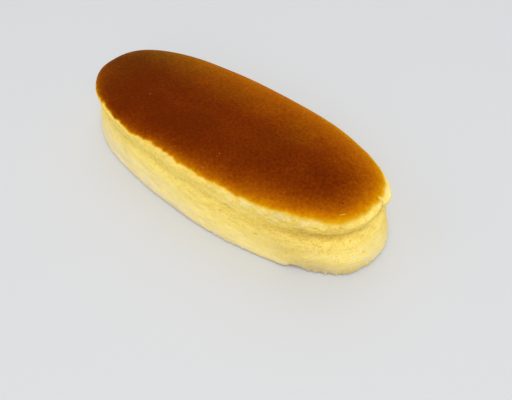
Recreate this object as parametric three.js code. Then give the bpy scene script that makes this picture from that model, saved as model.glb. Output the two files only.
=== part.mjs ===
// An oval Japanese cheesecake, turned out of its tin and standing whole on its base.
//
// It is one piece of soft baked sponge: a flat base with a ragged heel, a wall that bellies out, a
// groove where the rim has sunk back over it, a puffed pale lip, and a smooth, faintly domed crown.
//
// Millimetres, +Z up. The origin is the middle of the base, and +X runs along the oval towards the
// end where the rim is puffed out furthest. The oval's rings shrink towards a spine on the X axis.
import * as THREE from "three";

// Driving dimensions.
const halfLength = 97; // of the oval at the belly, along X
const halfWidth = 40.5; // of the oval at the belly, along Y
const squareness = 2.4; // exponent of the oval: 2 is an ellipse, and more is fuller at its corners
const leanOfCrown = 1.1; // how much higher the crown stands at the -X end than halfway along
const flatInset = 3; // where the flat underside ends, inside the oval

// The section, from the base's edge up to the spine: how far inside the oval each station lies, how
// high, and how many rows of faces lead up to it from the one below.
const stations = [
  { name: "baseEdge", inset: -1.5, height: 0, rows: 1 },
  { name: "heel", inset: -2, height: 0.9, rows: 1 },
  { name: "foot", inset: -1.1, height: 5, rows: 2 },
  { name: "belly", inset: -0.2, height: 11.5, rows: 3 },
  { name: "waist", inset: 0.7, height: 17.5, rows: 3 },
  { name: "groove", inset: 2.4, height: 21.8, rows: 3 },
  { name: "overhang", inset: 2, height: 25.2, rows: 2 },
  { name: "lip", inset: 1.5, height: 28.4, rows: 2 },
  { name: "brow", inset: 2.2, height: 29.9, rows: 2 },
  { name: "crustEdge", inset: 4.1, height: 31.1, rows: 2 },
  { name: "shoulder", inset: 8.5, height: 32.5, rows: 2 },
  { name: "crown", inset: 20, height: 33.8, rows: 2 },
  { name: "spine", inset: halfWidth, height: 34.3, rows: 3 },
];

// Where the cake has puffed or sunk: at a distance along the oval from its +X end, anticlockwise,
// and over a reach each way, some stations move in (or out, below zero) and some are lifted.
const swells = [
  { at: 0, reach: 75, inset: { crustEdge: 1.5, shoulder: 0.8 } }, // the paler rim at the +X end
  { at: 231, reach: 75, inset: { crustEdge: -1.5, brow: -0.6, shoulder: -0.8 } }, // the -X end
  { at: -12, reach: 34, inset: { waist: 0.4, groove: 1.5, overhang: 0.7, lip: 0.2 } }, // the rim sunk back
  { at: 2, reach: 14, inset: { heel: -1.2, foot: -1.5, belly: -0.8 } }, // the full end below it
  { at: -18, reach: 8, inset: { baseEdge: -0.9, heel: -0.9, foot: -1.1, belly: -0.3 } },
  {
    at: 13, // the puffed lobe
    reach: 9,
    inset: { groove: 0.1, overhang: -1.2, lip: -1.2, brow: -0.4 },
  },
  { at: 4.5, reach: 3, inset: { overhang: 0.8, lip: 1, brow: 0.5 } }, // the crack beside the lobe
  {
    at: -206, // the -X end, undercut below its rim
    reach: 26,
    inset: { belly: 0.5, waist: 1.4, groove: 1.2, overhang: 0.2, lip: -0.2 },
  },
  { at: -185, reach: 32, inset: { baseEdge: -0.7, heel: -0.7, foot: -0.7, belly: -0.5 } }, // its spread foot
  { at: -211, reach: 10, inset: { lip: 0.3, brow: 0.5, crustEdge: 0.4 } },
  { at: 214, reach: 15, inset: { lip: -0.7, brow: -0.8, crustEdge: -0.8, shoulder: -0.4 } },
  { at: -198, reach: 6, inset: { heel: -0.4, foot: -0.4, belly: -0.2 } }, // the foot that juts out there
  { at: -28, reach: 5, inset: { baseEdge: 0.4, heel: 0.6, foot: 0.4 } },
  { at: -59, reach: 10, inset: { baseEdge: 0.8, heel: 1.1, foot: 0.5 } }, // drawn in beside the tear
  { at: -125, reach: 35, inset: { heel: -0.4, foot: -0.3 } }, // the long side's spread foot
  { at: 120, reach: 70, inset: { groove: 0.3, lip: -0.1 } }, // a shallow fold along the far side
  { at: 40, reach: 18, inset: { lip: 0.5, brow: 0.5, crustEdge: 0.2 } }, // where the far rim has settled
  { at: 94, reach: 20, inset: { lip: 0.5, brow: 0.6, crustEdge: 0.4 } },
  { at: 151, reach: 14, inset: { lip: 0.3, brow: 0.3, crustEdge: 0.3 } },
  { at: 49, reach: 8, inset: { lip: 0.3, brow: 0.3 } },
  { at: 12, reach: 9, inset: { baseEdge: 0.3, heel: 0.5, foot: 0.3, belly: 0.4 } },
  { at: -16, reach: 4, inset: { baseEdge: -0.3, heel: -0.5 } },
  { at: -82, reach: 38, inset: { groove: -0.7, overhang: -0.3 } }, // the groove runs out along the side
  { at: -155, reach: 14, inset: { heel: 0.3, foot: 0.2 } },
  {
    at: -41, // a torn place where the heel has lifted
    reach: 5.5,
    inset: { baseEdge: 1.7, heel: 1 },
    lift: { baseEdge: 1.8, heel: 2, foot: 0.7 },
  },
];

// Fine unevenness: the outline wanders, the wall has soft level folds and the rim is scalloped.
const wander = 0.3;
const foldDepth = 0.28;
const foldPitch = 5.2; // of height
const scallopDepth = 0.35;
const scallops = 41; // round the oval

const segments = 168; // round the oval

const sponge = new THREE.MeshStandardMaterial({ color: 0xefd47c, roughness: 0.85, metalness: 0 });

// One ring of the cake, inset everywhere by about the same distance.
class OvalRing extends THREE.Curve {
  constructor(inset) {
    super();
    this.halfX = halfLength - inset;
    this.halfY = halfWidth - inset;
  }

  getPoint(t) {
    const angle = 2 * Math.PI * t;
    const round = (value) => Math.sign(value) * Math.abs(value) ** (2 / squareness);
    return new THREE.Vector3(this.halfX * round(Math.cos(angle)), this.halfY * round(Math.sin(angle)), 0);
  }
}

const outline = new OvalRing(0);
const girth = outline.getLength();

// 1 in the middle of a swell, falling away over its reach.
function nearness(along, swell) {
  const turns = (along - swell.at) / girth;
  const away = (turns - Math.round(turns)) * girth;
  return Math.exp(-((away / swell.reach) ** 2));
}

// What all the swells together add to a station's inset or lift.
function swollen(along, part, name) {
  return swells.reduce((sum, swell) => sum + (swell[part]?.[name] ?? 0) * nearness(along, swell), 0);
}

// The section at a place along the oval, as a smooth curve of inset (x) and height (y).
function sectionAt(along) {
  return new THREE.SplineCurve(
    stations.map(
      ({ name, inset, height }) =>
        new THREE.Vector2(inset + swollen(along, "inset", name), height + swollen(along, "lift", name)),
    ),
  );
}

// How far the surface wanders inwards at a place along the oval and a height.
function unevenness(along, height) {
  const angle = (2 * Math.PI * along) / girth;
  const outlineWave = Math.sin(3 * angle + 0.8) + 0.6 * Math.sin(7 * angle + 2.1);
  const drift = 1.9 * Math.sin(5 * angle + 0.4) + 1.2 * Math.sin(11 * angle + 1);
  const fold = Math.sin((2 * Math.PI * height) / foldPitch + drift) * (0.6 + 0.4 * Math.sin(8 * angle));
  const scallop = Math.sin(scallops * angle) * (0.5 + 0.5 * Math.sin(5 * angle + 1.2));
  const { smoothstep } = THREE.MathUtils;
  const onWall = smoothstep(height, 1, 5) * (1 - smoothstep(height, 26, 30));
  const onRim = smoothstep(height, 27, 30) * (1 - smoothstep(height, 31, 32));
  return wander * outlineWave + foldDepth * fold * onWall + scallopDepth * scallop * onRim;
}

// The rows of the section at a place along the oval, from the middle of the underside to the spine.
function rowsAt(along) {
  const section = sectionAt(along);
  const spans = stations.length - 1;
  const rows = [
    { inset: halfWidth, height: 0 },
    { inset: flatInset, height: 0 },
  ];
  stations.forEach((station, index) => {
    for (let step = 1; step <= station.rows; step++) {
      const share = Math.max(index - 1 + step / station.rows, 0) / spans;
      const { x: inset, y: height } = section.getPoint(share);
      rows.push({ inset, height });
    }
  });
  return rows;
}

// A turned cake of rings, whose rings are then laid out on the oval.
function cheesecakeGeometry() {
  const rowCount = rowsAt(0).length;
  const turned = Array.from({ length: rowCount }, (_, row) => new THREE.Vector2(1, row));
  const geometry = new THREE.LatheGeometry(turned, segments);
  const position = geometry.getAttribute("position");
  for (let segment = 0; segment <= segments; segment++) {
    const share = (segment % segments) / segments;
    const t = outline.getUtoTmapping(share);
    const along = share * girth;
    rowsAt(along).forEach(({ inset, height }, row) => {
      const fade = 1 - THREE.MathUtils.smoothstep(inset, flatInset * 2, halfWidth / 2);
      const { x, y } = new OvalRing(inset + fade * unevenness(along, height)).getPoint(t);
      const lean = 1 - ((leanOfCrown / stations.at(-1).height) * x) / halfLength;
      position.setXYZ(segment * rowCount + row, x, y, height * lean);
    });
  }
  geometry.computeBoundingBox();
  const middle = geometry.boundingBox.getCenter(new THREE.Vector3());
  geometry.translate(-middle.x, -middle.y, -geometry.boundingBox.min.z);
  return geometry;
}

const cheesecake = new THREE.Mesh(cheesecakeGeometry(), sponge);
cheesecake.name = "cheesecake";

const model = new THREE.Group();
model.add(cheesecake);
export default model;
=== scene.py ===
import math
import random
from bisect import bisect_left

import bmesh
import bpy
from mathutils import Euler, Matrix, Quaternion, Vector, kdtree, noise
from mathutils.bvhtree import BVHTree


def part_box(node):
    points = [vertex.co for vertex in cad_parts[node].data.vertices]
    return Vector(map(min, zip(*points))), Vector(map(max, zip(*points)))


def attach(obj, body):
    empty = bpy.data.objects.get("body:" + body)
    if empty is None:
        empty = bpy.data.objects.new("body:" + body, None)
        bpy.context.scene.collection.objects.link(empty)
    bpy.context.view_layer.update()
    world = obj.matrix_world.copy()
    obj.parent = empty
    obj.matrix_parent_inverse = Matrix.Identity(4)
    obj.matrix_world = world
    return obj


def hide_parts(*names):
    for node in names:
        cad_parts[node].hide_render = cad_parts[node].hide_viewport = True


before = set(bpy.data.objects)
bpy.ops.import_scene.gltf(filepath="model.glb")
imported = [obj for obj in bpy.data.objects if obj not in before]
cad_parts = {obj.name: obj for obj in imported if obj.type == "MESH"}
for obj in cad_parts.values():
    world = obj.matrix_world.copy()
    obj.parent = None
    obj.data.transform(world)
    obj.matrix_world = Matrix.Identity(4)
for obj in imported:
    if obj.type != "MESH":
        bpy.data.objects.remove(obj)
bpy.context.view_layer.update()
mm = 0.001
tau = 2 * math.pi
lowCorner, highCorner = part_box("cheesecake")
cakeMiddle = (lowCorner + highCorner) / 2
cakeSize = highCorner - lowCorner


def smoothStep(value, start, end):
    share = min(max((value - start) / (end - start), 0), 1)
    return share * share * (3 - 2 * share)


def bell(away, reach):
    return math.exp(-((away / reach) ** 2))


def colour(code):
    # a screen colour such as "F0D98A", as the linear values that a shader wants
    channels = [int(code[place:place + 2], 16) / 255 for place in (0, 2, 4)]
    return [c / 12.92 if c < 0.04045 else ((c + 0.055) / 1.055) ** 2.4 for c in channels] + [1]


# the cake: lengths are in millimetres, and places along the oval are counted from its +X end,
# anticlockwise, so those below zero are on the near side
form = {
    "halfLength": 97,
    "halfWidth": 40.5,
    "squareness": 2.4,      # 2 is an ellipse, more is fuller at the corners
    "lean": 1.1,            # the crown stands this much higher at the -X end
    "flatInset": 3,         # where the flat underside ends
    "segments": 960,
    "undersideRows": 3,

    # the section: name, inset from the oval, height, rows of faces up to it
    "stations": [
        ("baseEdge", 0.2, 0, 1),
        ("heel", -2.1, 0.9, 5),
        ("foot", -1.1, 5, 9),
        ("belly", -0.2, 11.5, 12),
        ("waist", 0.7, 17.5, 11),
        ("groove", 2.4, 21.8, 10),
        ("overhang", 2, 25.2, 7),
        ("lip", 1.5, 28.4, 8),
        ("brow", 2.2, 29.9, 6),
        ("crustEdge", 4.1, 31.1, 7),
        ("shoulder", 8.5, 32.5, 8),
        ("crown", 20, 33.8, 9),
        ("spine", 40.5, 34.3, 8),    # as far in as half the width
    ],
    # where it has puffed or sunk: place, reach, changes of inset
    "swells": [
        (0, 75, {"crustEdge": 1.5, "shoulder": 0.8}),
        (231, 75, {"crustEdge": -1.5, "brow": -0.6, "shoulder": -0.8}),
        (-12, 34, {"waist": 0.4, "groove": 1.5, "overhang": 0.7, "lip": 0.2}),    # the rim sunk back
        (2, 14, {"heel": -1.2, "foot": -1.5, "belly": -0.8}),    # the full end below it
        (-18, 8, {"baseEdge": -0.9, "heel": -0.9, "foot": -1.1, "belly": -0.3}),
        (14.5, 9, {"groove": 0.1, "overhang": -1.5, "lip": -1.7, "brow": -0.8}),    # the puffed lobe
        (4.5, 3, {"overhang": 0.8, "lip": 1, "brow": 0.5}),    # the crack beside it
        (-206, 26, {"belly": 0.5, "waist": 1.4, "groove": 1.2, "overhang": 0.2, "lip": -0.2}),    # undercut
        (-185, 32, {"baseEdge": -0.7, "heel": -0.7, "foot": -0.7, "belly": -0.5}),    # its spread foot
        (-211, 10, {"lip": 0.3, "brow": 0.5, "crustEdge": 0.4}),
        (214, 15, {"lip": -0.7, "brow": -0.8, "crustEdge": -0.8, "shoulder": -0.4}),
        (-198, 6, {"heel": -0.4, "foot": -0.4, "belly": -0.2}),
        (-28, 5, {"baseEdge": 0.4, "heel": 0.2, "foot": 0.1}),
        (-59, 10, {"baseEdge": 0.8, "heel": 0.5, "foot": 0.2}),
        (-46, 4, {"heel": -0.6, "foot": -0.8}),
        (-98, 12, {"heel": -0.3, "foot": -0.2}),
        (-125, 35, {"heel": -0.4, "foot": -0.3}),
        (120, 70, {"groove": 0.3, "lip": -0.1}),    # a fold along the far side
        (40, 18, {"lip": 0.3, "brow": 0.3, "crustEdge": 0.1}),    # the far rim settled
        (94, 20, {"lip": 0.3, "brow": 0.3, "crustEdge": 0.1}),
        (151, 14, {"lip": 0.3, "brow": 0.3, "crustEdge": 0.3}),
        (49, 8, {"lip": 0.3, "brow": 0.3}),
        (12, 9, {"belly": 0.4, "foot": 0.3, "heel": 0.5, "baseEdge": 0.3}),
        (-16, 4, {"baseEdge": -0.3, "heel": -0.5}),
        (-82, 38, {"groove": -0.7, "overhang": -0.3}),    # the groove runs out
        (-155, 14, {"heel": 0.3, "foot": 0.2}),
        (-41, 5.5, {"baseEdge": 1.7, "heel": 0.8}),    # the torn heel
    ],
    # and where it is lifted: place, reach, changes of height
    "lifts": [(-41, 5.5, {"baseEdge": 1.8, "heel": 2, "foot": 0.7})],

    # how the crown has browned: place from 0 up, how far the skin runs down over the rim, how brown it
    # is at its edge, over what distance it browns, and how brown it gets
    "bakes": [
        (0, 1.4, 0.02, 8.8, 0.97),
        (12, 2.5, 0, 9.3, 0.93),
        (21, 3.1, 0.1, 11.5, 0.93),
        (32, 3, 0.18, 13.5, 0.94),
        (60, 3, 0.2, 13.5, 0.91),
        (95, 3.7, 0.25, 18, 0.92),
        (120, 3.7, 0.22, 15.5, 0.92),
        (150, 3.7, 0.3, 14.5, 0.9),
        (180, 3.4, 0.47, 16, 0.95),
        (200, 2.7, 0.58, 9.5, 0.96),
        (216, 2.2, 0.67, 8.5, 1),
        (231, 1.8, 0.75, 5.5, 1),
        (247, 1.5, 0.58, 5.2, 0.99),
        (262, 1.4, 0.46, 3.6, 0.98),
        (277, 1.3, 0.54, 3.1, 0.98),
        (292, 1.5, 0.6, 3, 0.99),
        (312, 1.7, 0.48, 4.2, 0.97),
        (337, -0.6, 0.26, 3.6, 0.97),
        (362, 0.3, 0.24, 5.8, 0.95),
        (382, 0, 0.24, 6.2, 0.93),
        (402, 0.8, 0.12, 8.3, 0.96),
        (417, 0.1, 0.15, 8.8, 0.97),
        (430, 0.4, 0.06, 7.8, 0.95),
        (440, 1.9, -0.06, 8, 0.93),
        (450, 1.3, -0.02, 7.8, 0.95),
    ],

    # relief: how deep, how long and how high each kind is
    "seed": 11,
    "fold": 0.5, "foldLength": 30, "foldPitch": 10,          # broad soft waves in the wall
    "ripple": 0.3, "rippleLength": 10, "ripplePitch": 3.4,   # finer level ripples
    "streak": 0.14, "streakLength": 14, "streakPitch": 1.2,  # fine level streaks
    "grain": 0.1, "grainSize": 0.9,                          # the crumb's own roughness
    "pits": 300, "pitRadius": (0.35, 0.8), "pitDepth": (0.12, 0.4),    # small pores, least and most
    "lump": 0.3, "lumpSize": 3,                              # the torn rim's crumb
    "clump": 0.3, "clumpSize": (4, 2),                       # patches of it, length and height
    "bead": 0.5, "beadSize": 2.4,                            # rounded lumps in it
    "pillow": 0.75,                                          # and larger ones
    "skinStep": 0.2,                                         # the crust's skin stands proud of it
    "tuck": 0.4, "tuckHeight": 21.2, "tuckReach": 1.6,       # the fold where the rim meets the belly
    "tuckRise": (-6, 9, 1.6),                                # place, reach, how much higher it is there
    "crease": 0.3, "creaseHeight": 27.2, "creaseReach": 0.45,   # broken creases below the rim
    "creaseLevels": [(0, 1), (-1.1, 0.6), (0.9, 0.5)],       # how much higher each is, and its share
    "crackAt": 7.7, "crackDepth": 0.9, "crackReach": 0.36,   # the crack beside the lobe
    "crackSlant": (1.1, 0.9),                                # how it slants down the rim and under it
    "dome": 0.25, "domeSize": 27,                            # soft swells of the crown
    "ragged": 0.85, "raggedSize": 1.7,                       # the heel's broken edge
    "scallop": 1.3, "scallopPitch": 7.4,                     # the lobes of the crust's edge
    # single holes: place, height, radius, depth
    "holes": [
        (-8.5, 9.8, 0.6, 0.6),
        (-20.5, 29.6, 0.5, 0.4),
        (-31, 29.2, 0.5, 0.35),
        (-175.6, 3.3, 0.6, 0.4),
        (-66, 26, 0.5, 0.3),
    ],
    # single lumps of crumb below the crust's edge: place, how far past the edge, half length, half height,
    # share of the full relief
    "pillows": [
        (-72.6, -1.2, 2, 0.7, 0.4),
        (-65, -1.2, 3, 0.8, 0.7),
        (-60, -1.1, 1.4, 0.7, 0.6),
        (-56, -1.5, 1.9, 0.9, 0.9),
        (-52, -1.1, 0.9, 0.7, 0.5),
        (-47.2, -1.6, 1.6, 1.1, 1),
        (-43.5, -2.2, 1, 1.3, 1.1),
        (-40.2, -1, 0.8, 0.7, 0.5),
        (-36.2, -1.7, 2.2, 1.2, 1),
        (-31, -1.2, 1.4, 0.9, 0.5),
    ],

    # place, reach and how much: where the rim is torn and crumbly
    "torn": [
        (-46, 18, 1), (-72, 16, 0.45), (12, 20, 0.15),
        (-125, 16, 0.45), (110, 90, 0.4), (-165, 30, 0.3),
    ],
    # where the heel is ragged
    "raggedHeel": [
        (-36, 12, 1), (-8, 9, 0.5), (-74, 20, 0.35),
        (-145, 3, 0.6), (60, 30, 0.4), (190, 30, 0.3),
    ],
    # where the fold under the rim is sharp
    "sharpTuck": [(-14, 34, 1), (16, 12, -0.5), (120, 60, 0.35), (-206, 20, 0.3)],
    # where the crust's edge is scalloped, where it is soft, and where it is a yellower, greener gold
    "scalloped": [(-118, 14, 0.8), (-155, 26, 0.6), (130, 60, 0.4)],
    "softEdge": [(-4, 30, 1), (-50, 30, 0.4)],
    "goldEdge": [
        (-24, 13, 0.8), (-62, 16, 0.8), (-105, 24, 0.5), (-185, 42, 0.8),
        (60, 40, 0.6), (130, 70, 0.8), (215, 40, 0.6),
    ],
    # where the pores are open
    "porous": [(-26, 22, 1), (-85, 40, 0.25), (110, 90, 0.5)],

    # how pale the sponge is at a height, from 0 for the deepest yellow to 1; the paler foot and the deep
    # yellow up under the rim are partly the sponge's own colour and partly painted light, bounce light low
    # down and shade in the fold under the rim
    "tones": [
        (0, 1.1), (1.5, 0.95), (4, 0.8), (8, 0.64), (12, 0.54),
        (16, 0.45), (19.5, 0.36), (22, 0.26), (26, 0.28), (29, 0.3),
    ],
    "undersideTone": 0.88,
    # and where it is paler or yellower: place, reach, height, reach up and down, change
    "paler": [
        # the yellower, darker patch low in the groove is painted shade
        (-28, 24, 23.5, 5, -0.2),
        (-135, 35, 12, 14, 0.2),
        (-180, 24, 12, 13, 0.27),
        (2, 14, 14, 10, 0.1),
        (-76, 24, 26.4, 1.7, 0.26),
        (-52, 7, 26.4, 1.5, 0.16),
        (15, 8, 29, 4, 0.5),
    ],
    # and painted shade, where shade falls: on the foot and the wall, in the groove, and below the crust's
    # edge
    "duller": [
        (0, 1000, 0.6, 1.8, 0.45),
        (-16, 12, 3, 2.6, 0.6),
        (-32, 14, 5, 4, 0.75),
        (-150, 50, 14, 9, 0.1),
        (-60, 26, 14, 6, 0.12),
        (-43, 9, 11, 3.6, 0.35),
        (-42, 14, 2.5, 2, 0.3),
        (-44, 12, 20.6, 1.6, 0.35),
        (-26, 12, 21, 1.5, 0.2),
        (-60, 10, 12.5, 3, 0.1),
        (-60, 9, 20, 1.5, 0.3),
        (-100, 42, 2.5, 4, 0.3),
        (-20, 12, 30.5, 1.6, 0.28),
        (-46, 16, 30, 2.1, 0.5),
        (-78, 22, 30, 1.9, 0.35),
        (-122, 26, 30.2, 1.7, 0.35),
        (-165, 14, 20.5, 3, 0.35),
        (-46, 20, 16, 3, 0.22),
        (-30, 10, 23.5, 3.4, 0.3),
        (-42, 10, 9, 3, 0.12),
    ],
    # a little painted shade on the underside
    "undersidePaintedShade": 0.15,
}


def rounded(value):
    return math.copysign(abs(value) ** (2 / form["squareness"]), value)


def ovalPoint(angle, inset):
    x = (form["halfLength"] - inset) * rounded(math.cos(angle))
    y = (form["halfWidth"] - inset) * rounded(math.sin(angle))
    return Vector((x, y))


def walkOval(steps=7200):
    # distance along the oval at even angles
    walked = [0]
    before = ovalPoint(0, 0)
    for step in range(1, steps + 1):
        here = ovalPoint(tau * step / steps, 0)
        walked.append(walked[-1] + (here - before).length)
        before = here
    return walked


walkedOval = walkOval()
girth = walkedOval[-1]
drumRadius = girth / tau    # noise on the wall is read on a round drum, so that it has no seam


def angleAt(along):
    # the oval's own angle at a distance along it
    place = min(max(bisect_left(walkedOval, along), 1), len(walkedOval) - 1)
    before, after = walkedOval[place - 1], walkedOval[place]
    return tau * (place - 1 + (along - before) / (after - before)) / (len(walkedOval) - 1)


def awayFrom(along, place):
    # how far it is to a place, the shorter way round the oval
    turns = (along - place) / girth
    return (turns - round(turns)) * girth


def changed(along, name, changes):
    # what the swells or the lifts add to one station
    return sum(change.get(name, 0) * bell(awayFrom(along, at), reach) for at, reach, change in changes)


def bakeAt(along):
    # the browning's values, blended between the two nearest places
    along %= girth
    bakes = form["bakes"]
    index = next((index for index, bake in enumerate(bakes) if bake[0] > along), 0)
    before, after = bakes[index - 1], bakes[index]
    share = smoothStep((along - before[0]) % girth, 0, (after[0] - before[0]) % girth)
    return [a + (b - a) * share for a, b in zip(before[1:], after[1:])]


def catmull(points, span, share):
    # a smooth curve through the stations, level where it meets the spine
    start, end = points[span], points[span + 1]
    first = points[max(span - 1, 0)]
    last = points[span + 2] if span + 2 < len(points) else Vector((2 * end.x - start.x, start.y))
    pull, push = (end - first) / 2, (last - start) / 2
    bend = (2 * start - 2 * end + pull + push) * share ** 3
    return bend + (3 * end - 3 * start - 2 * pull - push) * share ** 2 + pull * share + start


def sectionAt(along):
    # rows of (place, outward direction, distance past the crust's edge), underside first
    points = [
        Vector((inset + changed(along, name, form["swells"]), height + changed(along, name, form["lifts"])))
        for name, inset, height, rowsUp in form["stations"]
    ]
    under = Vector((0, -1))
    rows = []
    for row in range(form["undersideRows"]):
        share = row / (form["undersideRows"] - 1)
        inset = form["halfWidth"] + (form["flatInset"] - form["halfWidth"]) * share
        rows.append([Vector((inset, 0)), under, 0])
    rows.append([points[0], under, 0])
    walked = 0
    for span, (name, inset, height, rowsUp) in enumerate(form["stations"][1:]):
        for step in range(1, rowsUp + 1):
            here = catmull(points, span, step / rowsUp)
            travel = here - catmull(points, span, (step - 0.5) / rowsUp)
            walked += (here - rows[-1][0]).length
            rows.append([here, Vector((-travel.y, travel.x)).normalized(), walked])
        if name == "crustEdge":
            edge = walked
    for row in rows:
        row[2] -= edge
    return rows


def drumPoint(along, height, length, pitch, shift=0):
    # where noise of this length and pitch is read, and the shift picks another stretch of it
    turn = tau * along / girth
    reach = drumRadius / length
    return Vector((reach * math.cos(turn), reach * math.sin(turn), height / pitch + shift))


def cloudAt(spot, size, level):
    # soft noise over the crown, and each level has a pattern of its own
    return noise.noise(Vector((spot.x, spot.y, level)) / size)


def howMuch(along, places):
    # how much of something there is here, at most 1
    return min(sum(amount * bell(awayFrom(along, at), reach) for at, reach, amount in places), 1)


def scatterPits():
    # small open pores in the wall, found again by their place on the drum
    chance = random.Random(form["seed"])
    pits = kdtree.KDTree(form["pits"] + len(form["holes"]))
    sizes = []
    for index in range(form["pits"]):
        place = drumPoint(chance.uniform(0, girth), chance.uniform(1.5, 27), 1, 1)
        pits.insert(place, index)
        sizes.append((chance.uniform(*form["pitRadius"]), chance.uniform(*form["pitDepth"])))
    for along, height, radius, depth in form["holes"]:
        pits.insert(drumPoint(along, height, 1, 1), len(sizes))
        sizes.append((radius, depth))
    pits.balance()
    return pits, sizes


def edgeShift(along, spot, scalloped):
    # how far the crust's edge runs over the rim, or stops short of it
    wave = 0.9 * noise.noise(spot / 5 + Vector((2, 8, 4)))
    wave += 0.3 * noise.noise(spot / 2.4 + Vector((5, 1, 9)))
    wander = 0.9 * noise.noise(drumPoint(along, 0, 16, 1, 55))
    lobes = math.sqrt(math.sin(math.pi * (along / form["scallopPitch"] + wander)) ** 2 + 0.06)
    spur = 1.5 * bell(awayFrom(along, form["crackAt"] - 0.3), 0.9)    # it stops short at the crack
    return wave + form["scallop"] * (0.66 - lobes) * scalloped - spur


def blotched(along, height, places):
    # what places on the wall add up to
    return sum(amount * bell(awayFrom(along, at), reach) * bell(height - level, levelReach)
               for at, reach, level, levelReach, amount in places)


def toneAt(along, height):
    # how pale the wall is
    tones = form["tones"]
    index = next((index for index, tone in enumerate(tones) if tone[0] > height), len(tones) - 1)
    (low, lowTone), (high, highTone) = tones[index - 1], tones[index]
    tone = lowTone + (highTone - lowTone) * smoothStep(height, low, high)
    return tone + blotched(along, height, form["paler"])


def crackAt(along, height, past):
    # the crack slants down beside the lobe, then turns under it
    slant, under = form["crackSlant"]
    middle = form["crackAt"] + slant * max(past, -2.4) + under * max(28.5 - height, 0)
    middle += 0.3 * noise.noise(Vector((height / 1.5, 2, 1)))
    deep = smoothStep(height, 22, 28.5) * (1 - smoothStep(past, -0.5, 0.2))
    return deep * bell(awayFrom(along, middle), form["crackReach"])


def clumpAt(along, height, spot):
    # patches of torn crumb, longer than they are high, and how far the rounded lumps in them stand out
    length, pitch = form["clumpSize"]
    patch = noise.noise(drumPoint(along, height, length, pitch, 33)) + 0.25 * noise.noise(spot)
    patch = smoothStep(patch, -0.15, 0.25)
    away = noise.voronoi(spot / form["beadSize"] + 0.2 * noise.noise_vector(spot / 1.5))[0][0]
    return patch, patch * (1 - smoothStep(away, 0.1, 0.62))


def pillowAt(along, past):
    # how far the single lumps stand out, which end at the crust
    raised = sum(share * bell(awayFrom(along, at), length) * bell(past - level, height)
                 for at, level, length, height, share in form["pillows"])
    return raised * (1 - smoothStep(past, -0.9, -0.05))


def pitAt(along, height, pits, sizes):
    # how deep the pores around a place are
    near = pits.find_range(drumPoint(along, height, 1, 1), 2)
    return sum(sizes[index][1] * bell(away, sizes[index][0]) for found, index, away in near)


def wavesAt(along, height):
    # level folds and ripples in the wall, and streaks low down on it
    wall = smoothStep(height, 0.8, 4) * (1 - smoothStep(height, 25, 28))
    low = 1 - smoothStep(height, 8, 18)
    fold = noise.noise(drumPoint(along, height, form["foldLength"], form["foldPitch"]))
    ripple = noise.noise(drumPoint(along, height, form["rippleLength"], form["ripplePitch"], 9))
    streak = noise.noise(drumPoint(along, height, form["streakLength"], form["streakPitch"], 20))
    return wall * form["fold"] * fold + wall * form["ripple"] * ripple + wall * low * form["streak"] * streak


def reliefAt(along, place, past, spot, pits, sizes, shares):
    # how far the surface stands out at a place, spot is where that is on the cake
    height = place.y
    if past > 0:
        return smoothStep(past, 0, 8) * form["dome"] * cloudAt(spot, form["domeSize"], 0)
    torn, ragged, tuck = shares
    rim = smoothStep(height, 26.8, 28.4) * (1 - smoothStep(past, -1.1, -0.1))
    lump = noise.noise(spot / form["lumpSize"])
    patch, bead = clumpAt(along, height, spot)
    out = wavesAt(along, height)
    out += form["grain"] * noise.noise(spot / form["grainSize"])
    out -= pitAt(along, height, pits, sizes)
    out += rim * torn * (form["lump"] * lump + form["clump"] * patch + form["bead"] * (bead - 0.3))
    out += form["pillow"] * pillowAt(along, past) * (1 + 0.7 * lump)
    out -= form["skinStep"] * torn * smoothStep(height, 27, 29) * (1 - smoothStep(past, -0.8, 0))
    at, reach, rise = form["tuckRise"]
    drift = form["tuckHeight"] + 0.9 * noise.noise(drumPoint(along, 0, 16, 1, 80))
    drift += rise * bell(awayFrom(along, at), reach)
    out -= form["tuck"] * tuck * bell(height - drift, form["tuckReach"])
    for level, (higher, share) in enumerate(form["creaseLevels"]):
        drift = form["creaseHeight"] + higher + 0.7 * noise.noise(drumPoint(along, 0, 13, 1, 85 + level))
        broken = max(0.4 + 1.4 * noise.noise(drumPoint(along, 0, 4.5, 1, 90 + level)), 0)
        out -= form["crease"] * share * torn * broken * bell(height - drift, form["creaseReach"])
    broken = noise.noise(spot / form["raggedSize"]) + 0.5 * noise.noise(spot / form["raggedSize"] * 2.3)
    out += form["ragged"] * (0.12 + ragged) * (broken - 0.25) * (1 - smoothStep(height, 1, 4))
    return out * smoothStep(height, -0.1, 0.5)


def browningAt(past, bake, spot):
    # 0 for the palest gold, 1 for the darkest crust
    rim, reach, full = bake
    cloud = cloudAt(spot, 13, 30) + 0.5 * cloudAt(spot, 4.5, 60)
    browned = rim * smoothStep(past, -0.4, 1.8) + (full - rim) * (1 - math.exp(-max(past, 0) / reach))
    return min(max(browned + 0.04 * cloud * smoothStep(past, 0, 4), 0), 1)


def tanAt(along, past, spot):
    # how yellow a brown the crust is
    far = bell(awayFrom(along, 205), 50) * (1 - 0.75 * smoothStep(past, 6, 34))
    gold = howMuch(along, form["goldEdge"]) * (1 - smoothStep(past, 0.3, 4))
    cloud = cloudAt(spot, 16, 90) + 0.6 * cloudAt(spot, 6, 20)
    place = 0.22 * spot.y / form["halfWidth"] - 0.3 * smoothStep(spot.x, 35, 75)
    return min(max(max(far, gold) + (place + 0.32 * cloud) * smoothStep(past, 6, 20), 0), 1)


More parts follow.
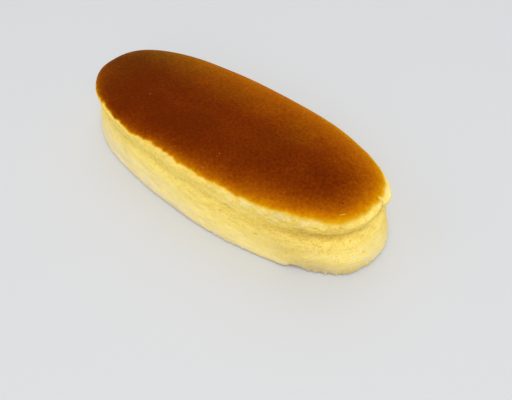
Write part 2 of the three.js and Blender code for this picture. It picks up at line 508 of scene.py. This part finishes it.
def turnedRings():
    # a straight profile of rows, spun into even rings that are then laid out on the oval
    bm = bmesh.new()
    rowCount = form["undersideRows"] + sum(rowsUp for name, inset, height, rowsUp in form["stations"])
    profile = [bm.verts.new((1, 0, row)) for row in range(rowCount)]
    edges = [bm.edges.new(pair) for pair in zip(profile, profile[1:])]
    bmesh.ops.spin(bm, geom=profile + edges, cent=(0, 0, 0), axis=(0, 0, 1), dvec=(0, 0, 0),
                   angle=tau, steps=form["segments"], use_merge=True, use_duplicate=False)
    return bm


def columnAt(segment):
    # what the places up one column of the cake share
    along = girth * segment / form["segments"]
    return {
        "along": along,
        "angle": angleAt(along),
        "rows": sectionAt(along),
        "bake": bakeAt(along),
        "bakeAcross": bakeAt(-along),
        "shares": [howMuch(along, form[name]) for name in ("torn", "raggedHeel", "sharpTuck")],
        "scalloped": howMuch(along, form["scalloped"]),
        "soft": howMuch(along, form["softEdge"]),
        "porous": howMuch(along, form["porous"]),
    }


def makeCake():
    noise.seed_set(form["seed"])    # without it the lumps' vector noise differs from run to run
    bm = turnedRings()
    paints = ("skin", "browning", "tan", "tone", "torn", "dull", "porous")
    layers = {name: bm.verts.layers.float.new(name) for name in paints}
    pits, sizes = scatterPits()
    columns = [columnAt(segment) for segment in range(form["segments"])]
    topHeight = form["stations"][-1][2]
    for vert in bm.verts:
        segment = round(math.atan2(vert.co.y, vert.co.x) / tau * form["segments"]) % form["segments"]
        row = round(vert.co.z)
        column = columns[segment]
        along, angle, bake = column["along"], column["angle"], column["bake"]
        shares, porous = column["shares"], column["porous"]
        place, outward, past = column["rows"][row]
        height = place.y
        spot = ovalPoint(angle, place.x).to_3d()
        spot.z = height
        past += bake[0]    # now from the edge of the crust, which runs down over the rim
        shifted = past + edgeShift(along, spot, column["scalloped"]) * (1 - smoothStep(past, 1, 5))
        crack = crackAt(along, height, past)
        out = 0
        if row >= form["undersideRows"]:
            out = reliefAt(along, place, shifted, spot, pits, sizes, shares) - form["crackDepth"] * crack
        moved = place + outward * out
        last = row == len(column["rows"]) - 1    # the spine
        laid = ovalPoint(angle, form["halfWidth"] if last else moved.x)
        lean = 1 - form["lean"] / topHeight * laid.x / form["halfLength"]
        vert.co = Vector((laid.x, laid.y, max(moved.y, 0) * lean)) * mm

        vert[layers["skin"]] = smoothStep(shifted, -0.9 - 0.6 * column["soft"], 0.6)
        across = 0.5 * smoothStep(past, 25, 36)    # the two sides meet at the spine
        here = browningAt(shifted, bake[1:], spot)
        opposite = browningAt(shifted, column["bakeAcross"][1:], spot)
        vert[layers["browning"]] = here + across * (opposite - here)
        here = tanAt(along, past, spot)
        opposite = tanAt(-along, past, spot)
        vert[layers["tan"]] = here + across * (opposite - here)
        patch, bead = clumpAt(along, height, spot)
        crumbly = shares[0] * smoothStep(height, 26.6, 28.2) * (1 - smoothStep(past, -0.6, 0.8))
        lumpy = crumbly * (0.3 * patch + 0.5 * bead) + 0.65 * pillowAt(along, shifted)
        vert[layers["torn"]] = min(lumpy, 1)
        vert[layers["porous"]] = porous * smoothStep(height, 5, 11) * (1 - smoothStep(height, 22, 27))
        # painted shade: a little on the underside; on the wall the tone drops to a deeper yellow where the
        # surface sinks in and in the pores, and the crack gets painted shade
        if row <= form["undersideRows"]:
            vert[layers["tone"]] = form["undersideTone"]
            vert[layers["dull"]] = form["undersidePaintedShade"]
        else:
            pit = pitAt(along, height, pits, sizes)
            vert[layers["tone"]] = toneAt(along, height) + 0.2 * min(out, 0) - pit
            dull = blotched(along, height, form["duller"]) * (1 - smoothStep(shifted, -0.9, 0.3))
            vert[layers["dull"]] = dull + 0.9 * crack
    bmesh.ops.remove_doubles(bm, verts=bm.verts, dist=0.002 * mm)
    bmesh.ops.recalc_face_normals(bm, faces=bm.faces)
    fitToFrame(bm)
    return bm


def fitToFrame(bm):
    # the finished cake fills the box that the frame gives it
    low = Vector([min(vert.co[axis] for vert in bm.verts) for axis in range(3)])
    high = Vector([max(vert.co[axis] for vert in bm.verts) for axis in range(3)])
    scale = Vector([cakeSize[axis] / (high[axis] - low[axis]) for axis in range(3)])
    bmesh.ops.translate(bm, verts=bm.verts, vec=-(low + high) / 2)
    bmesh.ops.scale(bm, verts=bm.verts, vec=scale)
    bmesh.ops.translate(bm, verts=bm.verts, vec=cakeMiddle)
    print("fitted to the frame by", [round(share, 4) for share in scale])


def addNode(tree, kind, **inputs):
    # a node with its options and sockets set by name
    made = tree.nodes.new("ShaderNode" + kind)
    for name, value in inputs.items():
        if hasattr(made, name):
            setattr(made, name, value)
        else:
            made.inputs[name].default_value = value
    return made


def addRamp(tree, stops, factor):
    ramp = addNode(tree, "ValToRGB")
    elements = ramp.color_ramp.elements
    while len(elements) < len(stops):
        elements.new(0.5)
    for element, (position, code) in zip(elements, stops):
        element.position = position
        element.color = colour(code)
    tree.links.new(factor, ramp.inputs["Fac"])
    return ramp.outputs["Color"]


def addNoise(tree, coordinates, scale, detail=3, roughness=0.55, stretch=(1, 1, 1)):
    mapping = addNode(tree, "Mapping")
    mapping.inputs["Scale"].default_value = stretch
    tree.links.new(coordinates, mapping.inputs["Vector"])
    made = addNode(tree, "TexNoise", Scale=scale, Detail=detail, Roughness=roughness)
    tree.links.new(mapping.outputs["Vector"], made.inputs["Vector"])
    return made.outputs["Fac"]


def addMath(tree, operation, first, second=None, third=None):
    made = addNode(tree, "Math", operation=operation)
    for socket, value in zip(made.inputs, (first, second, third)):
        if value is None:
            continue
        if isinstance(value, (int, float)):
            socket.default_value = value
        else:
            tree.links.new(value, socket)
    return made.outputs["Value"]


def addUneven(tree, pattern, amount, middle):
    # a value that a noise makes more in some places and less in others
    return addMath(tree, "MULTIPLY_ADD", addMath(tree, "SUBTRACT", pattern, 0.5), amount, middle)


def addMix(tree, factor, first, second, blend="MIX"):
    made = addNode(tree, "Mix", data_type="RGBA", blend_type=blend)
    sockets = made.inputs["Factor"], made.inputs[6], made.inputs[7]    # 6 and 7 take the two colours
    for socket, value in zip(sockets, (factor, first, second)):
        if isinstance(value, (int, float, list)):
            socket.default_value = value
        else:
            tree.links.new(value, socket)
    return made.outputs[2]


def addDots(tree, coordinates, size, radius, leftOut):
    # round dots in the cells of a pattern, with a share of them left out
    cells = addNode(tree, "TexVoronoi", Scale=1 / (size * mm))
    tree.links.new(coordinates, cells.inputs["Vector"])
    chosen = addNode(tree, "SeparateColor")
    tree.links.new(cells.outputs["Color"], chosen.inputs["Color"])
    inside = addNode(tree, "MapRange", interpolation_type="SMOOTHSTEP")
    inside.inputs["From Min"].default_value = radius
    inside.inputs["From Max"].default_value = radius * 0.3
    tree.links.new(cells.outputs["Distance"], inside.inputs["Value"])
    filled = addMath(tree, "GREATER_THAN", chosen.outputs["Red"], leftOut)
    return addMath(tree, "MULTIPLY", inside.outputs["Result"], filled)


# the cake's finish: pale sponge below, browned skin above
finish = {
    "sponge": [
        (0, "DDB952"), (0.3, "F2D46A"), (0.5, "FADF7B"), (0.7, "F9E28E"),
        (0.82, "F7E4A0"), (0.92, "F4E2AA"), (1, "F0DFB2"),
    ],
    "torn": [(0.3, "EBD484"), (0.5, "F4E29C"), (0.7, "FAEDB4")],
    "dull": "CFCAC3",            # the painted shade: what multiplies the sponge where it is most in shade
    "clouding": (110, 2.6, 0.8), # scale, how much longer than high, how uneven that makes the painted shade
    # level bands, patches and flecks: scale, how much longer than high, detail, amount
    "mottling": [(60, 5, 3, 0.45), (260, 3, 3, 0.7), (900, 1.5, 4, 0.8)],
    "beadScale": 750,
    # painted shade inside the open pores: its colour and how much of it
    "poreShadowColour": "C4983A",
    "poreShade": 0.55,
    "pores": (0.95, 0.34, 0.3),  # millimetres from one to the next, radius, share left out
    "crust": [
        (0, "D49F10"), (0.1, "CD9006"), (0.2, "C47B03"), (0.3, "BB6E02"), (0.4, "AF6102"), (0.5, "A25502"),
        (0.6, "944902"), (0.7, "863D01"), (0.8, "783101"), (0.9, "6B2701"), (1, "5E2001"),
    ],
    "tan": [                     # a yellower brown
        (0, "D49F10"), (0.2, "C48A06"), (0.3, "BB7F04"), (0.4, "AF7103"), (0.5, "A26302"),
        (0.7, "864E02"), (0.8, "784302"), (0.9, "6B3702"), (1, "5E2D01"),
    ],
    "crustMottle": 0.52,
    "crustScale": 650,
    "dotShade": 0.07,
    "dots": (2.4, 0.3, 0.75),    # as the pores, but darker dots in the crust
    "roughness": (0.9, 0.5),     # sponge, crust
    "gloss": 0.006,
    "bleed": 0.12,               # how much light passes under the surface
    "bleedReach": (1.0, 0.62, 0.28),
    "bleedDepth": 2,             # millimetres
    "crumbScale": 1300,
    "bump": 0.4,                 # millimetres
}


def cakeMaterial():
    material = bpy.data.materials.new("browned sponge")
    material.use_nodes = True
    tree = material.node_tree
    shader = tree.nodes["Principled BSDF"]
    coordinates = addNode(tree, "TexCoord").outputs["Object"]
    skin, browning, tan, tone, torn, dull, porous = [
        addNode(tree, "Attribute", attribute_name=name).outputs["Fac"]
        for name in ("skin", "browning", "tan", "tone", "torn", "dull", "porous")
    ]

    # sponge: paler and yellower crumb
    for scale, stretch, detail, amount in finish["mottling"]:
        mottle = addNoise(tree, coordinates, scale, detail=detail, stretch=(1, 1, stretch))
        tone = addUneven(tree, mottle, amount, tone)
    sponge = addRamp(tree, finish["sponge"], tone)
    beads = addNoise(tree, coordinates, finish["beadScale"], detail=4, roughness=0.65)
    sponge = addMix(tree, torn, sponge, addRamp(tree, finish["torn"], beads))

    # painted shade in the open pores, and the painted shade carried by the cake, made patchy by a noise
    pored = addMath(tree, "MULTIPLY", addDots(tree, coordinates, *finish["pores"]), porous)
    shaded = addMath(tree, "MULTIPLY", pored, finish["poreShade"])
    sponge = addMix(tree, shaded, sponge, colour(finish["poreShadowColour"]))
    scale, stretch, amount = finish["clouding"]
    clouds = addNoise(tree, coordinates, scale, detail=4, roughness=0.6, stretch=(1, 1, stretch))
    dull = addUneven(tree, clouds, amount, dull)
    dulled = addMix(tree, 1.0, sponge, colour(finish["dull"]), "MULTIPLY")
    sponge = addMix(tree, dull, sponge, dulled)

    # crust: mottled browning with darker dots, a yellower brown in places
    mottle = addNoise(tree, coordinates, finish["crustScale"], detail=4, roughness=0.65)
    mottled = addUneven(tree, mottle, finish["crustMottle"], browning)
    dots = addDots(tree, coordinates, *finish["dots"])
    mottled = addMath(tree, "MULTIPLY_ADD", dots, finish["dotShade"], mottled)
    crust = addRamp(tree, finish["crust"], mottled)
    crust = addMix(tree, tan, crust, addRamp(tree, finish["tan"], mottled))
    tree.links.new(addMix(tree, skin, sponge, crust), shader.inputs["Base Color"])

    ofSponge, ofCrust = finish["roughness"]
    roughness = addNode(tree, "MapRange")
    roughness.inputs["To Min"].default_value = ofSponge
    roughness.inputs["To Max"].default_value = ofCrust
    tree.links.new(skin, roughness.inputs["Value"])
    tree.links.new(roughness.outputs["Result"], shader.inputs["Roughness"])

    # relief finer than the mesh: open crumb on the sponge, a fine leathery grain on the crust
    crumb = addNoise(tree, coordinates, finish["crumbScale"], detail=4, roughness=0.65)
    opened = addMath(tree, "MULTIPLY_ADD", pored, -0.8, crumb)
    grain = addMath(tree, "MULTIPLY", mottle, 0.22)
    surface = addNode(tree, "Mix", data_type="FLOAT")
    tree.links.new(skin, surface.inputs["Factor"])
    tree.links.new(opened, surface.inputs[2])    # 2 and 3 take the two values
    tree.links.new(grain, surface.inputs[3])
    bump = addNode(tree, "Bump", Strength=0.8, Distance=finish["bump"] * mm)
    tree.links.new(surface.outputs[0], bump.inputs["Height"])
    tree.links.new(bump.outputs["Normal"], shader.inputs["Normal"])

    shader.inputs["Specular IOR Level"].default_value = finish["gloss"]
    shader.inputs["Subsurface Weight"].default_value = finish["bleed"]
    shader.inputs["Subsurface Radius"].default_value = finish["bleedReach"]
    shader.inputs["Subsurface Scale"].default_value = finish["bleedDepth"] * mm
    return material


def addPiece(name, bm, material):
    mesh = bpy.data.meshes.new(name)
    bm.to_mesh(mesh)
    bm.free()
    for face in mesh.polygons:
        face.use_smooth = True
    mesh.materials.append(material)
    piece = bpy.data.objects.new(name, mesh)
    bpy.context.scene.collection.objects.link(piece)
    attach(piece, "root")
    return piece


spongeMaterial = cakeMaterial()
print("material made,", len(spongeMaterial.node_tree.nodes), "nodes")
cake = addPiece("baked_cake", makeCake(), spongeMaterial)
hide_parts("cheesecake")
print("cake made,", len(cake.data.polygons), "faces")

# loose crumbs and specks, in millimetres
crumbs = {
    "seed": 5,
    # place along the oval, reach, how many, smallest and largest radius, lowest and highest, how pale,
    # how much painted shade
    "clinging": [
        (-34, 10, 34, 0.3, 0.7, 0.2, 1.6, 0.95, 0.6),
        (-41, 4, 12, 0.4, 0.8, 0.6, 2.4, 0.95, 0.6),
        (-6, 7, 9, 0.3, 0.55, 0.3, 1.6, 0.95, 0.4),
        (-145, 2.5, 3, 0.3, 0.5, 0.2, 1, 0.95, 0.4),
        (70, 60, 14, 0.25, 0.5, 0.2, 1.2, 0.95, 0.4),
        (-52, 12, 4, 0.5, 0.8, 28, 29, 0.7, 0.3),
        (90, 80, 10, 0.3, 0.6, 27.5, 29.2, 0.7, 0.3),
    ],
    # place on the crown, radius, how much of the crust's colour it has, browning
    "specks": [
        ((18.6, -20.4), 0.42, 0.75, 0.7),
        ((18.4, -31.6), 0.34, 0.75, 0.7),
        ((-45.1, -11.2), 0.32, 0.75, 0.7),
        ((81.7, -8.2), 0.44, 1, 0.95),
        ((76.5, -12.8), 0.34, 1, 0.85),
        ((76.1, -16.5), 0.3, 1, 0.85),
        ((60, -24), 0.3, 1, 0.9),
        ((-20, 12), 0.3, 1, 1),
        ((35, 5), 0.3, 1, 1),
    ],
    # place on the crown, half length, half width, half height, turn in degrees
    "sliver": ((85, -12.5), 1.9, 0.24, 0.12, 52),
}


def makeCrumbs():
    chance = random.Random(crumbs["seed"])
    surface = BVHTree.FromPolygons([vert.co for vert in cake.data.vertices],
                                   [list(face.vertices) for face in cake.data.polygons])
    bm = bmesh.new()
    layers = {name: bm.verts.layers.float.new(name) for name in ("skin", "browning", "tone", "dull")}

    def drop(centre, stretch, turn=None, **paint):
        made = bmesh.ops.create_icosphere(bm, subdivisions=2, radius=1)["verts"]
        shift = Vector((chance.uniform(0, 50), chance.uniform(0, 50), 0))
        for vert in made:
            vert.co *= 1 + 0.7 * noise.noise(vert.co * 1.4 + shift)
            for name, amount in paint.items():
                vert[layers[name]] = amount
        spin = turn or Euler([chance.uniform(0, tau) for axis in range(3)]).to_quaternion()
        bmesh.ops.scale(bm, verts=made, vec=[size * mm for size in stretch])
        bmesh.ops.rotate(bm, verts=made, cent=(0, 0, 0), matrix=spin.to_matrix())
        bmesh.ops.translate(bm, verts=made, vec=centre)

    def crownAt(place):
        above = Vector((place[0] * mm, place[1] * mm, highCorner.z + 0.01))
        return surface.ray_cast(above, Vector((0, 0, -1)))[0]

    for at, reach, count, least, most, low, high, tone, dull in crumbs["clinging"]:
        for index in range(count):
            along = (at + chance.gauss(0, reach * 0.6)) % girth
            radius = least + (most - least) * chance.random() ** 2
            height = max(chance.uniform(low, high), 1.2 * radius) * mm
            start = ovalPoint(angleAt(along), -5) * mm
            inward = ovalPoint(angleAt(along), 14) * mm - start
            hit, outwards = surface.ray_cast(start.to_3d() + Vector((0, 0, height)), inward.to_3d())[:2]
            if hit:
                stretch = [radius * chance.uniform(0.75, 1.2) for axis in range(3)]
                drop(hit - 0.55 * radius * mm * outwards, stretch, tone=tone, dull=dull)
    for place, radius, skin, browning in crumbs["specks"]:
        centre = crownAt(place) - Vector((0, 0, 0.2 * radius * mm))
        stretch = radius, radius, 0.5 * radius
        drop(centre, stretch, Quaternion(), tone=0.8, dull=0.6, skin=skin, browning=browning)
    place, length, width, height, turn = crumbs["sliver"]
    turned = Quaternion((0, 0, 1), math.radians(turn))
    drop(crownAt(place), (length, width, height), turned, tone=0.7, dull=0.5, skin=0.92)
    for vert in bm.verts:    # none of them sticks out beyond the cake's own box
        vert.co = [min(max(value, low), high) for value, low, high in zip(vert.co, lowCorner, highCorner)]
    bmesh.ops.recalc_face_normals(bm, faces=bm.faces)
    return bm


loose = addPiece("crumbs", makeCrumbs(), spongeMaterial)
print("crumbs made,", len(loose.data.polygons), "faces")

studio = {
    "floor": "D0D1D3",
    "floorSize": 4,
    "skyStrength": 0.56,
    # place in metres, size, power
    "lamps": [
        ((0.5, -0.36, 1.9), 1, 13.3),
        ((1.25, -1.2, 1), 1.8, 14.6),
        ((-0.7, 1, 1.5), 1.6, 6.3),
        ((-1.1, -1, 0.9), 1.6, 3),
    ],
}


def buildStudio():
    bm = bmesh.new()
    bmesh.ops.create_grid(bm, x_segments=1, y_segments=1, size=studio["floorSize"] / 2)
    bmesh.ops.translate(bm, verts=bm.verts, vec=(0, 0, lowCorner.z))
    mesh = bpy.data.meshes.new("floor")
    bm.to_mesh(mesh)
    bm.free()
    floor = bpy.data.objects.new("floor", mesh)
    bpy.context.scene.collection.objects.link(floor)
    material = bpy.data.materials.new("pale floor")
    material.use_nodes = True
    shader = material.node_tree.nodes["Principled BSDF"]
    shader.inputs["Base Color"].default_value = colour(studio["floor"])
    shader.inputs["Roughness"].default_value = 0.9
    shader.inputs["Specular IOR Level"].default_value = 0
    mesh.materials.append(material)
    world = bpy.data.worlds.new("sky")
    world.use_nodes = True
    world.node_tree.nodes["Background"].inputs["Color"].default_value = (1, 1, 1, 1)
    world.node_tree.nodes["Background"].inputs["Strength"].default_value = studio["skyStrength"]
    bpy.context.scene.world = world
    for place, size, power in studio["lamps"]:
        light = bpy.data.lights.new("softbox", "AREA")
        light.size = size
        light.energy = power
        lamp = bpy.data.objects.new("softbox", light)
        lamp.location = place
        lamp.rotation_euler = (Vector(place) - cakeMiddle).to_track_quat("Z", "Y").to_euler()
        bpy.context.scene.collection.objects.link(lamp)


viewpoint = {
    "aim": (0.4212, -0.4971, -0.0105),    # in half sizes of the cake, from its middle
    "distance": 1.1399,                   # in lengths of the cake
    "turn": -44.53,                       # degrees
    "rise": 48.1,
    "roll": -4.35,
    "lens": 33.09,
}


def placeCamera():
    aim = cakeMiddle + Vector([share * size / 2 for share, size in zip(viewpoint["aim"], cakeSize)])
    turn, rise = math.radians(viewpoint["turn"]), math.radians(viewpoint["rise"])
    away = Vector((math.cos(rise) * math.cos(turn), math.cos(rise) * math.sin(turn), math.sin(rise)))
    camera = bpy.data.objects.new("camera", bpy.data.cameras.new("camera"))
    camera.data.lens = viewpoint["lens"]
    camera.data.sensor_width = 36
    camera.data.clip_start = 0.01
    camera.location = aim + away * viewpoint["distance"] * cakeSize.x
    roll = Quaternion((0, 0, 1), math.radians(viewpoint["roll"]))
    camera.rotation_euler = (away.to_track_quat("Z", "Y") @ roll).to_euler()
    bpy.context.scene.collection.objects.link(camera)
    bpy.context.scene.camera = camera


buildStudio()
placeCamera()
bpy.context.scene.view_settings.view_transform = "Standard"
print("studio and camera ready")
